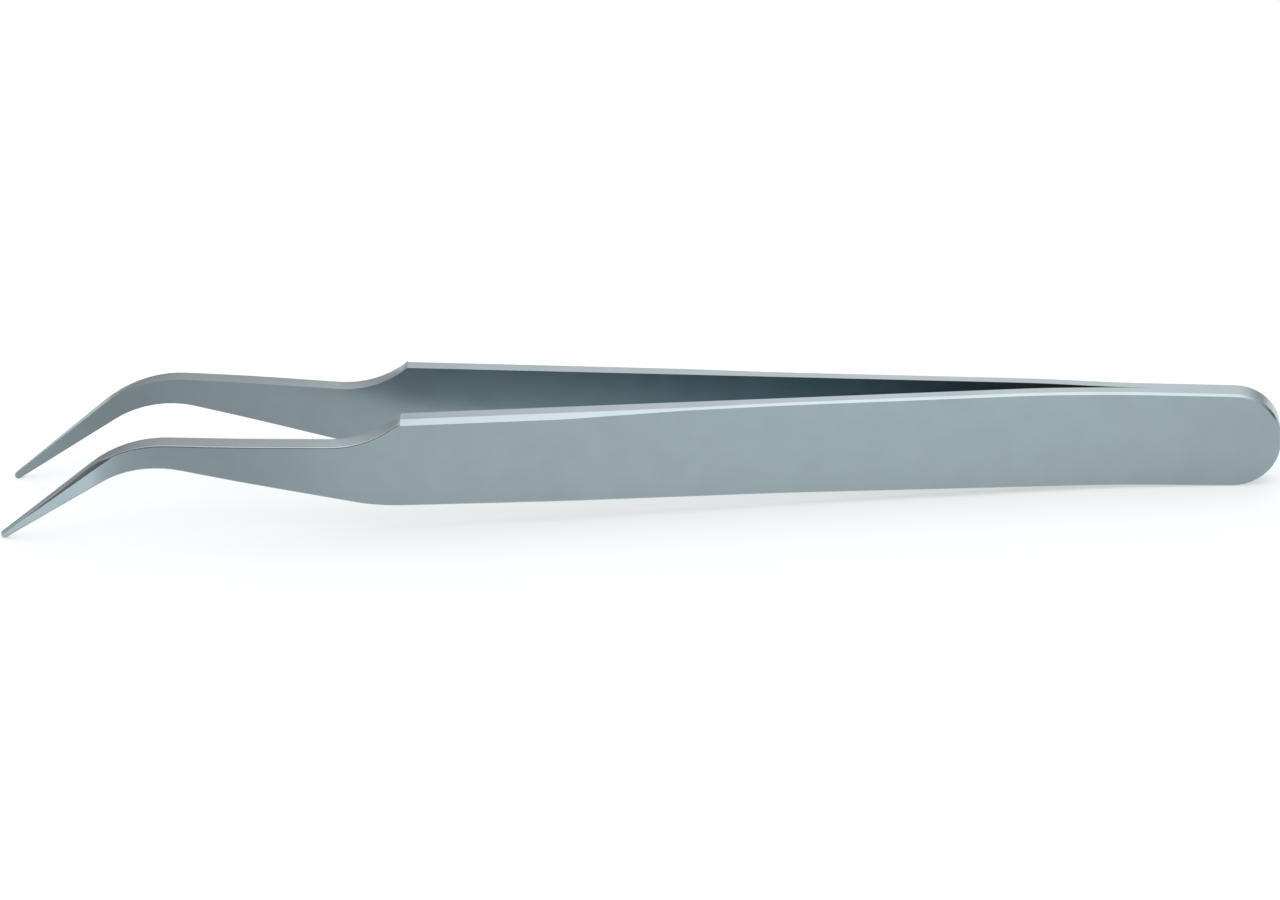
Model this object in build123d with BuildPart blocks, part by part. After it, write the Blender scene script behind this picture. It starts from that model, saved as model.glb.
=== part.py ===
from build123d import *
import os
from math import asin, atan2, cos, degrees, radians, sin, sqrt, tan

# Bent precision tweezers: two mirror-image arms of stainless strip, welded face to face at the tail.
# They stand on edge, on both tips and on the lower corner of the tail, with the opening along Y.
# An arm is drawn from the side, by its distance from the tail end and its height above the
# straight lower edge of the body, and from above, by the same distance and its offset from the
# plane between the arms. Lengths are in millimetres and angles in degrees.

# Outline from the side: body
overall_length = 120.0      # tail end to tip end
tail_width = 9.5
tail_radius = 4.5           # both corners of the tail, which leave a short flat between them
body_width = 9.85           # at its widest
widest_at = 22.5            # from the tail end
widest_radius = 150.0
shoulder_width = 8.87
shoulder_reach = 37.84      # shoulder corner, back from the tip end
belly_reach = 35.6          # lower corner of the body, back from the tip end
belly_radius = 19.0

# Outline from the side: neck, bend and tip
scoop_length = 6.65         # shoulder corner to the foot of the hollow in front of it
scoop_foot_height = 6.36
top_bend_reach = 12.15      # corner of the neck's and tip's upper edges, back from the tip end
top_bend_height = 6.97
top_bend_radius = 11.3
bottom_bend_reach = 13.35
bottom_bend_height = 5.0
bottom_bend_radius = 9.7
tip_drop = 3.45             # centre of the tip's round end, below the lower edge of the body
tip_radius = 0.33

# Inner face from above
weld_length = 11.8
root_radius = 100.0         # where the arms leave the weld
splay_angle = 4.07          # of each arm
neck_bend_reach = 22.8      # where each arm bends back, from the tip end
neck_bend_radius = 170.0
neck_splay_angle = 1.96
grip_reach = 16.5           # start of the ground gripping face, back from the tip end
toe_in_angle = 0.41         # of the gripping face

# Thickness of an arm
tail_thickness = 1.15
body_thickness = 1.7
neck_thickness = 1.75
tip_thickness = 0.42
swell_start_reach = 73.0    # both ends of the swell, back from the tip end
swell_end_reach = 53.0
swell_radius = 120.0
outer_bend_radius = 120.0
tip_taper_reach = 15.5      # start of the tip's outer facet, back from the tip end
tip_taper_radius = 40.0

# Edges of the outer face
edge_break = 0.2            # narrow bevel all round
ground_bevel = 0.46         # wider bevel along the top of the body in front of the swell

# The outer face's facets all turn less than this from the outward direction
outer_limit = 30.0

# Cutting shapes reach this far past the arm
overrun = 2.0
cutter_reach = 25.0


def heading(angle):
    """Unit vector at an angle to the direction from tail to tip."""
    return Vector(cos(radians(angle)), sin(radians(angle)))


def tip_touch(corner, side):
    """Point where a line from a corner of the outline touches the tip's round end, above or below."""
    to_centre = tip_centre - corner
    aim = degrees(atan2(to_centre.Y, to_centre.X) + side * asin(tip_radius / to_centre.length))
    return tip_centre + tip_radius * heading(aim + side * 90)


def advance(start, angle, along):
    """Point at a distance from the tail end, on the line that leaves a point at an angle."""
    return Vector(along, start.Y + (along - start.X) * tan(radians(angle)))


def between(start, end, along):
    """Point at a distance from the tail end, on the line through two points."""
    return start + (end - start) * ((along - start.X) / (end.X - start.X))


# Corners of the outline
tip_centre = Vector(overall_length - tip_radius, -tip_drop)
tip_end = Vector(overall_length, -tip_drop)
tail_top = Vector(0, tail_width)
widest = Vector(widest_at, body_width)
shoulder = Vector(overall_length - shoulder_reach, shoulder_width)
scoop_foot = Vector(shoulder.X + scoop_length, scoop_foot_height)
top_bend = Vector(overall_length - top_bend_reach, top_bend_height)
bottom_bend = Vector(overall_length - bottom_bend_reach, bottom_bend_height)
belly = Vector(overall_length - belly_reach, 0)
tip_top = tip_touch(top_bend, 1)
tip_bottom = tip_touch(bottom_bend, -1)

# Corners of the inner face, from above
root = Vector(weld_length + root_radius * tan(radians(splay_angle / 2)), 0)
neck_bend = advance(root, splay_angle, overall_length - neck_bend_reach)
grip = advance(neck_bend, neck_splay_angle, overall_length - grip_reach)
inner_end = advance(grip, -toe_in_angle, overall_length + overrun)

# Corners of the outer face, from above
tip_taper_at = overall_length - tip_taper_reach
outer_root = root + Vector(0, tail_thickness)
outer_swell_start = advance(outer_root, splay_angle, overall_length - swell_start_reach)
outer_swell_end = advance(root, splay_angle, overall_length - swell_end_reach) + Vector(0, body_thickness)
outer_neck_bend = neck_bend + Vector(0, neck_thickness)
outer_taper = advance(grip, -toe_in_angle, tip_taper_at) + Vector(0, neck_thickness)
outer_tip = advance(grip, -toe_in_angle, overall_length) + Vector(0, tip_thickness)
outer_end = between(outer_taper, outer_tip, overall_length + overrun)

# At rest the tail's lower corner and the tip's round end both touch the ground
tail_centre = Vector(tail_radius, tail_radius)
span = tip_centre - tail_centre
rest_angle = degrees(asin((tip_radius - tail_radius) / span.length) - atan2(span.Y, span.X))
lean, rise = cos(radians(rest_angle)), sin(radians(rest_angle))
tail_extreme = tail_radius - tail_radius * lean + (tail_width - tail_radius) * rise
tip_extreme = -tip_radius - tip_centre.X * lean + tip_centre.Y * rise
middle = -(tail_extreme + tip_extreme) / 2
floor_drop = tail_radius - tail_radius * (lean + rise)

forward = Vector(-lean, 0, rise)
upward = Vector(rise, 0, lean)
outward = Vector(0, 1, 0)
corner = Vector(middle, 0, floor_drop)
side_view = Plane(origin=corner, x_dir=forward, z_dir=outward)
top_view = Plane(origin=corner, x_dir=forward, z_dir=-upward)
bevel_view = Plane(origin=corner, x_dir=forward, z_dir=outward - upward)


def bevel_point(along, offset):
    """Point of the ground bevel, seen edge on, at an offset along the top of the body."""
    height = between(widest, shoulder, along).Y
    return Vector(along, (offset + height) / sqrt(2))


# Right arm, on the +Y side
with BuildPart() as right_arm:
    with BuildSketch(side_view):
        with BuildLine():
            ThreePointArc(tip_top, tip_end, tip_bottom)
            FilletPolyline(tip_top, top_bend, scoop_foot, radius=top_bend_radius)
            TangentArc(scoop_foot, shoulder, tangent=scoop_foot - top_bend)
            FilletPolyline(
                shoulder, widest, tail_top, (0, 0), belly, bottom_bend, tip_bottom,
                radius=[widest_radius, tail_radius, tail_radius, belly_radius, bottom_bend_radius],
            )
        make_face()
    extrude(amount=cutter_reach)

    # Strip profile: flat on the weld, splayed, bent back in the neck, thinner at the tail and the tip
    with BuildSketch(top_view):
        with BuildLine():
            inner = FilletPolyline(
                (-overrun, 0), root, neck_bend, grip, inner_end,
                radius=[root_radius, neck_bend_radius, 0],
            )
            outer = FilletPolyline(
                (-overrun, tail_thickness), outer_root, outer_swell_start, outer_swell_end,
                outer_neck_bend, outer_taper, outer_end,
                radius=[root_radius, swell_radius, swell_radius, outer_bend_radius, tip_taper_radius],
            )
            Line(inner @ 0, outer @ 0)
            Line(inner @ 1, outer @ 1)
        make_face()
    extrude(amount=cutter_reach, both=True, mode=Mode.INTERSECT)

    # Narrow bevel all round the outer face, on the edges that only one of its facets has
    outer_faces = [face for face in right_arm.faces() if face.normal_at().Y > cos(radians(outer_limit))]
    outer_edges = [edge for face in outer_faces for edge in face.edges()]
    chamfer([edge for edge in outer_edges if outer_edges.count(edge) == 1], length=edge_break)

    # Wider bevel ground along the top of the body: it deepens with the swell and ends at the shoulder
    with BuildSketch(bevel_view):
        with BuildLine():
            bevel_line = FilletPolyline(
                bevel_point(outer_swell_start.X, outer_swell_start.Y),
                bevel_point(outer_swell_end.X, outer_swell_end.Y - ground_bevel),
                bevel_point(shoulder.X, between(outer_swell_end, outer_neck_bend, shoulder.X).Y - ground_bevel),
                radius=swell_radius,
            )
            Polyline(
                bevel_line @ 0, (outer_swell_start.X, cutter_reach), (shoulder.X, cutter_reach), bevel_line @ 1,
            )
        make_face()
    extrude(amount=cutter_reach, both=True, mode=Mode.SUBTRACT)
right_arm.part.label = "right_arm"

# Left arm, on the -Y side: the mirror image, which meets the right arm face to face at the weld
with BuildPart() as left_arm:
    mirror(right_arm.part, about=Plane.XZ)
left_arm.part.label = "left_arm"

os.makedirs("parts", exist_ok=True)
export_step(left_arm.part, "parts/left_arm.step")
export_step(right_arm.part, "parts/right_arm.step")
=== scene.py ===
import bmesh
import bpy
from math import cos, pi, radians, sin
from mathutils import Matrix, Vector


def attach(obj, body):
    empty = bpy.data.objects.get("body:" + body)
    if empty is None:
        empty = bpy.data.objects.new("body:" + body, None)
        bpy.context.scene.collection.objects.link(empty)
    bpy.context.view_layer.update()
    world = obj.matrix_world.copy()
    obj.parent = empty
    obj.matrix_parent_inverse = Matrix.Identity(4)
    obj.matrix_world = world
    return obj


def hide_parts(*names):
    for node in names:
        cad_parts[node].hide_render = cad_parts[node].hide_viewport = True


# Bent precision tweezers of satin stainless steel, standing on edge on a plain pale floor.
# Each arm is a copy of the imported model's, with a facet ground along the top of its tip. In front of
# the shoulder its narrow bevel shades as a rounding. Lengths are in metres and angles in degrees, in
# the model's frame.

mm = 0.001

# Camera, at the photograph's viewing angle
camera_azimuth = 3.04
camera_elevation = 27.0
camera_roll = -2.64
camera_distance = 690 * mm
camera_range = (0.1, 20)            # nearest and farthest that it sees, times its distance
camera_target = Vector((0.0, 0.0, 4.6 * mm))
frame_width = 1280                  # of the photograph, in pixels
pixels_per_metre = 10.63 / mm       # at the target
sensor_width = 36.0                 # Blender gives lenses and sensors in millimetres

# Facet along the top of a tip, on the +Y arm: both ends of its lower edge, and its upper edge's back end
facet_start = Vector((-48.03, 7.41, 9.50)) * mm
facet_end = Vector((-60.03, 6.34, 0.40)) * mm
facet_top = Vector((-48.29, 7.175, 9.83)) * mm

# Edges that shade as rounded: shallow ones, and in front of the shoulder those of the narrow bevel too
shallow_angle = 20
bevel_angle = 50
shoulder_at = -22.3 * mm

# Joining of an arm's mesh
weld_gap = 0.001 * mm       # points nearer than this become one
flat_angle = 0.02           # faces that turn less than this become one

# Surface of the steel
steel_light = (0.322, 0.388, 0.41, 1)
steel_dark = (0.298, 0.36, 0.38, 1)
steel_roughness = (0.22, 0.28)
mottle_size = 3 * mm
mottle_detail = 5
mottle_roughness = 0.6
mottle_span = (0.3, 0.7)            # of the noise, from the dark to the light steel
grain_size = 0.12 * mm
grain_detail = 3
grain_length = 6                    # times its size, along the arm
grain_depth = 0.0005 * mm

# Painted light and shade along the arm, by the place in millimetres
# On the outer faces: painted shade at the neck and a painted highlight at the tip
outer_painted_light = (
    (-60, 1.3), (-51.2, 1.33), (-49.9, 0.96), (-48, 0.79), (-46, 0.74), (-38, 0.72),
    (-32, 0.82), (-27, 0.93), (-18, 1), (20, 1.09), (43, 1.07), (60, 0.98),
)
# On the inner faces: painted light, brighter towards the back, lifting the shade between the arms
inner_painted_light = (
    (-60, 0.8), (-50, 0.6), (-38, 0.74), (-27, 0.88), (-15, 1.12), (4, 1.3), (24, 1.5), (60, 1.5),
)

# Floor and light
floor_size = 6.0
floor_colour = (0.40, 0.45, 0.46, 1)
floor_glow = (0.53, 0.53, 0.53, 1)
sky_colour = (1, 0.955, 0.955, 1)
sky_strength = 2.2
# Brightness of the studio, by the angle in degrees from the front over the top to the back
studio_stops = (
    (0, 0.12), (38, 0.14), (56, 1), (100, 0.98), (130, 0.68), (153, 0.54), (168, 0.36), (180, 0.25),
)
# and by the direction from left to right, as the sideways part of a unit vector
side_stops = ((-1, 0.5), (-0.45, 0.75), (-0.1, 1), (0.25, 1), (0.6, 0.5), (1, 0.3))


def grey(level):
    """An opaque grey."""
    return level, level, level, 1


def make_ramp(nodes, links, value, stops):
    """A ramp of brightness: its stops give levels for values, from the lowest to the highest."""
    low, high = stops[0][0], stops[-1][0]
    share = nodes.new("ShaderNodeMapRange")
    share.inputs["From Min"].default_value = low
    share.inputs["From Max"].default_value = high
    links.new(value, share.inputs["Value"])
    ramp = nodes.new("ShaderNodeValToRGB")
    elements = ramp.color_ramp.elements
    elements[0].color = grey(stops[0][1])
    elements[1].color = grey(stops[-1][1])
    for place, level in stops[1:-1]:
        elements.new((place - low) / (high - low)).color = grey(level)
    links.new(share.outputs["Result"], ramp.inputs["Fac"])
    return ramp.outputs["Color"]


def combine(nodes, links, operation, first, second):
    """The result of a Math node's operation on two values, each a socket or a number."""
    node = nodes.new("ShaderNodeMath")
    node.operation = operation
    for value, socket in zip((first, second), node.inputs):
        if isinstance(value, bpy.types.NodeSocket):
            links.new(value, socket)
        else:
            socket.default_value = value
    return node.outputs["Value"]


def new_material(name):
    """An empty node material, its nodes and its links."""
    material = bpy.data.materials.new(name)
    material.use_nodes = True
    nodes, links = material.node_tree.nodes, material.node_tree.links
    nodes.clear()
    return material, nodes, links


def make_painted_light(nodes, links, texture_place):
    """Painted light and shade along the arm, which differ between its outer and inner faces."""
    place = nodes.new("ShaderNodeSeparateXYZ")
    links.new(texture_place.outputs["Object"], place.inputs["Vector"])
    normal = nodes.new("ShaderNodeSeparateXYZ")
    links.new(texture_place.outputs["Normal"], normal.inputs["Vector"])
    along = combine(nodes, links, "DIVIDE", place.outputs["X"], mm)
    side = combine(nodes, links, "SIGN", place.outputs["Y"], 0)
    facing = combine(nodes, links, "MULTIPLY", side, normal.outputs["Y"])
    # From -1, where a face looks straight inwards, to 1, where it looks straight outwards
    outer_share = nodes.new("ShaderNodeMapRange")
    outer_share.inputs["From Min"].default_value = -1
    links.new(facing, outer_share.inputs["Value"])
    # Painted light and shade: the inner ramp on faces that look inwards, the outer ramp on faces that look
    # outwards
    painted_light = nodes.new("ShaderNodeMix")
    painted_light.data_type = "RGBA"
    links.new(outer_share.outputs["Result"], painted_light.inputs["Factor"])
    inner, outer = [socket for socket in painted_light.inputs if socket.type == "RGBA"]
    links.new(make_ramp(nodes, links, along, inner_painted_light), inner)
    links.new(make_ramp(nodes, links, along, outer_painted_light), outer)
    return [socket for socket in painted_light.outputs if socket.type == "RGBA"][0]


def make_steel():
    """Satin stainless steel: faint cloudy mottling, uneven gloss, a fine grain drawn along the arm, and
    painted light and shade along it.
    """
    material, nodes, links = new_material("satin_steel")
    texture_place = nodes.new("ShaderNodeTexCoord")
    place = texture_place.outputs["Object"]

    mottle = nodes.new("ShaderNodeTexNoise")
    mottle.inputs["Scale"].default_value = 1 / mottle_size
    mottle.inputs["Detail"].default_value = mottle_detail
    mottle.inputs["Roughness"].default_value = mottle_roughness
    links.new(place, mottle.inputs["Vector"])

    colour = nodes.new("ShaderNodeValToRGB")
    elements = colour.color_ramp.elements
    for element, place_in_noise, steel_colour in zip(elements, mottle_span, (steel_dark, steel_light)):
        element.position = place_in_noise
        element.color = steel_colour
    links.new(mottle.outputs["Fac"], colour.inputs["Fac"])

    gloss = nodes.new("ShaderNodeMapRange")
    gloss.inputs["To Min"].default_value = steel_roughness[0]
    gloss.inputs["To Max"].default_value = steel_roughness[1]
    links.new(mottle.outputs["Fac"], gloss.inputs["Value"])

    drawn = nodes.new("ShaderNodeMapping")
    drawn.inputs["Scale"].default_value = (1 / grain_length, 1, 1)
    links.new(place, drawn.inputs["Vector"])
    grain = nodes.new("ShaderNodeTexNoise")
    grain.inputs["Scale"].default_value = 1 / grain_size
    grain.inputs["Detail"].default_value = grain_detail
    links.new(drawn.outputs["Vector"], grain.inputs["Vector"])
    bump = nodes.new("ShaderNodeBump")
    bump.inputs["Distance"].default_value = grain_depth
    links.new(grain.outputs["Fac"], bump.inputs["Height"])

    # The steel's colour times the painted light and shade along the arm
    colour_with_painted_light = nodes.new("ShaderNodeVectorMath")
    colour_with_painted_light.operation = "MULTIPLY"
    links.new(colour.outputs["Color"], colour_with_painted_light.inputs[0])
    links.new(make_painted_light(nodes, links, texture_place), colour_with_painted_light.inputs[1])

    steel = nodes.new("ShaderNodeBsdfPrincipled")
    steel.inputs["Metallic"].default_value = 1.0
    links.new(colour_with_painted_light.outputs["Vector"], steel.inputs["Base Color"])
    links.new(gloss.outputs["Result"], steel.inputs["Roughness"])
    links.new(bump.outputs["Normal"], steel.inputs["Normal"])
    output = nodes.new("ShaderNodeOutputMaterial")
    links.new(steel.outputs["BSDF"], output.inputs["Surface"])
    return material


def is_rounded(edge):
    """Whether an edge shades as a rounding."""
    in_front = all(end.co.x < shoulder_at for end in edge.verts)
    return edge.calc_face_angle(pi) < radians(bevel_angle if in_front else shallow_angle)


def cut_facet(shape, side):
    """Cuts the facet along the tip of the arm on the +Y side, 1, or the -Y side, -1, and gives its faces."""
    start, end, top = (point * Vector((1, side, 1)) for point in (facet_start, facet_end, facet_top))
    cut = bmesh.ops.bisect_plane(
        shape, geom=shape.verts[:] + shape.edges[:] + shape.faces[:],
        plane_co=start, plane_no=side * (end - start).cross(top - start), clear_outer=True,
    )
    facet_edges = [item for item in cut["geom_cut"] if isinstance(item, bmesh.types.BMEdge)]
    return bmesh.ops.holes_fill(shape, edges=facet_edges)["faces"]


def grind_arm(node, side, material):
    """Stands a copy with a ground tip and a softer bevel in an arm's place, and gives it its steel."""
    shape = bmesh.new()
    shape.from_mesh(node.data)
    bmesh.ops.remove_doubles(shape, verts=shape.verts, dist=weld_gap)
    facet = cut_facet(shape, side)
    bmesh.ops.dissolve_limit(shape, angle_limit=radians(flat_angle), verts=[], edges=shape.edges[:])
    for face in shape.faces:
        face.smooth = True
    for edge in shape.edges:
        edge.smooth = is_rounded(edge)
    for face in facet:
        for edge in face.edges:
            edge.smooth = False
    mesh = bpy.data.meshes.new(node.name)
    shape.to_mesh(mesh)
    shape.free()
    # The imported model's own normals would hide the new shading
    old_shading = mesh.attributes.get("custom_normal")
    if old_shading:
        mesh.attributes.remove(old_shading)
    mesh.materials.append(material)

    arm = bpy.data.objects.new("ground_" + node.name, mesh)
    bpy.context.scene.collection.objects.link(arm)
    shading = arm.modifiers.new("shading", "WEIGHTED_NORMAL")
    shading.keep_sharp = True
    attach(arm, "root")
    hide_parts(node.name)


def make_floor():
    """A plain pale floor, which shows near white to the camera and in the steel, and keeps the shadow."""
    material, nodes, links = new_material("pale_floor")
    rays = nodes.new("ShaderNodeLightPath").outputs
    seen = combine(nodes, links, "MAXIMUM", rays["Is Camera Ray"], rays["Is Glossy Ray"])
    seen = combine(nodes, links, "MAXIMUM", seen, rays["Is Transmission Ray"])
    surface = nodes.new("ShaderNodeBsdfDiffuse")
    surface.inputs["Color"].default_value = floor_colour
    glow = nodes.new("ShaderNodeEmission")
    glow.inputs["Color"].default_value = floor_glow
    links.new(seen, glow.inputs["Strength"])
    both = nodes.new("ShaderNodeAddShader")
    links.new(surface.outputs["BSDF"], both.inputs[0])
    links.new(glow.outputs["Emission"], both.inputs[1])
    output = nodes.new("ShaderNodeOutputMaterial")
    links.new(both.outputs["Shader"], output.inputs["Surface"])

    bpy.ops.mesh.primitive_plane_add(size=floor_size)
    floor = bpy.context.object
    floor.name = "floor"
    floor.data.materials.append(material)


def make_light():
    """A studio as light: a long soft box overhead, half as bright behind it, and dim in front."""
    world = bpy.data.worlds.new("studio")
    world.use_nodes = True
    nodes, links = world.node_tree.nodes, world.node_tree.links
    direction = nodes.new("ShaderNodeSeparateXYZ")
    links.new(nodes.new("ShaderNodeTexCoord").outputs["Generated"], direction.inputs["Vector"])
    sideways, back, up = direction.outputs
    front = combine(nodes, links, "MULTIPLY", back, -1)
    height = combine(nodes, links, "ARCTAN2", up, front)
    angle = combine(nodes, links, "DEGREES", height, 0)
    level = combine(
        nodes, links, "MULTIPLY",
        make_ramp(nodes, links, angle, studio_stops), make_ramp(nodes, links, sideways, side_stops),
    )
    background = nodes["Background"]
    background.inputs["Color"].default_value = sky_colour
    links.new(combine(nodes, links, "MULTIPLY", level, sky_strength), background.inputs["Strength"])
    bpy.context.scene.world = world


def make_camera():
    """The photograph's camera: turned, raised and rolled about the target, through a long lens."""
    turn, tilt, roll = radians(camera_azimuth), radians(camera_elevation), radians(camera_roll)
    back = Vector((sin(turn) * cos(tilt), -cos(turn) * cos(tilt), sin(tilt)))
    level_right = Vector((cos(turn), sin(turn), 0))
    level_up = back.cross(level_right)
    right = cos(roll) * level_right + sin(roll) * level_up
    up = cos(roll) * level_up - sin(roll) * level_right
    data = bpy.data.cameras.new("camera")
    data.sensor_width = sensor_width
    data.lens = pixels_per_metre * camera_distance / frame_width * sensor_width
    data.clip_start, data.clip_end = (share * camera_distance for share in camera_range)
    camera = bpy.data.objects.new("camera", data)
    camera.matrix_world = (
        Matrix.Translation(camera_target + camera_distance * back)
        @ Matrix((right, up, back)).transposed().to_4x4()
    )
    bpy.context.scene.collection.objects.link(camera)
    bpy.context.scene.camera = camera


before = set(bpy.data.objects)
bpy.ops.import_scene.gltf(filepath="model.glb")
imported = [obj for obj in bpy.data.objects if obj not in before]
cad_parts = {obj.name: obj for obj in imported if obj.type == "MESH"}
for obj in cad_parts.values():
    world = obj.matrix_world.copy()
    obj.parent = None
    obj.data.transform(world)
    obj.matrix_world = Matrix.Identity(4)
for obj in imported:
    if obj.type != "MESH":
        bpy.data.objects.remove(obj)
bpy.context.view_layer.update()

steel = make_steel()
grind_arm(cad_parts["left_arm"], -1, steel)
grind_arm(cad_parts["right_arm"], 1, steel)
make_floor()
make_light()
make_camera()
bpy.context.scene.view_settings.view_transform = "Standard"
